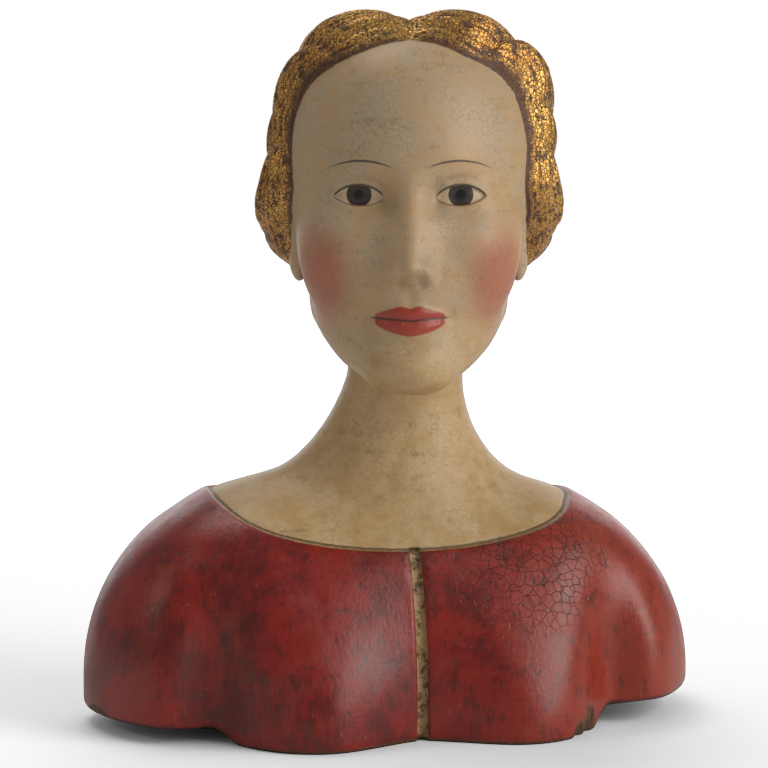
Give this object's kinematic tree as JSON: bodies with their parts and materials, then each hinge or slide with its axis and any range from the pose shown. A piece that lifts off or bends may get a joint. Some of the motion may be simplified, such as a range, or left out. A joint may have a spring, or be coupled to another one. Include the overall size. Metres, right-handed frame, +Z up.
{
  "type": "sculpted bust",
  "caption": "Carved wooden bust of a woman with parted gilded hair, calm painted face, and a red bodice with a front slit",
  "frame": {"origin": "centre of the bounding box seen from above, on the flat underside", "axes": "+Z up from the underside to the hair, -Y the way the chest faces, +X to the right as seen from the front"},
  "size_m": [0.2882, 0.1652, 0.328],
  "materials": {
    "painted_wood": "gesso ground with worn red and flesh paint, gilded hair, low sheen"
  },
  "bodies": {
    "root": {"bust": "painted_wood"}
  },
  "joints": []
}
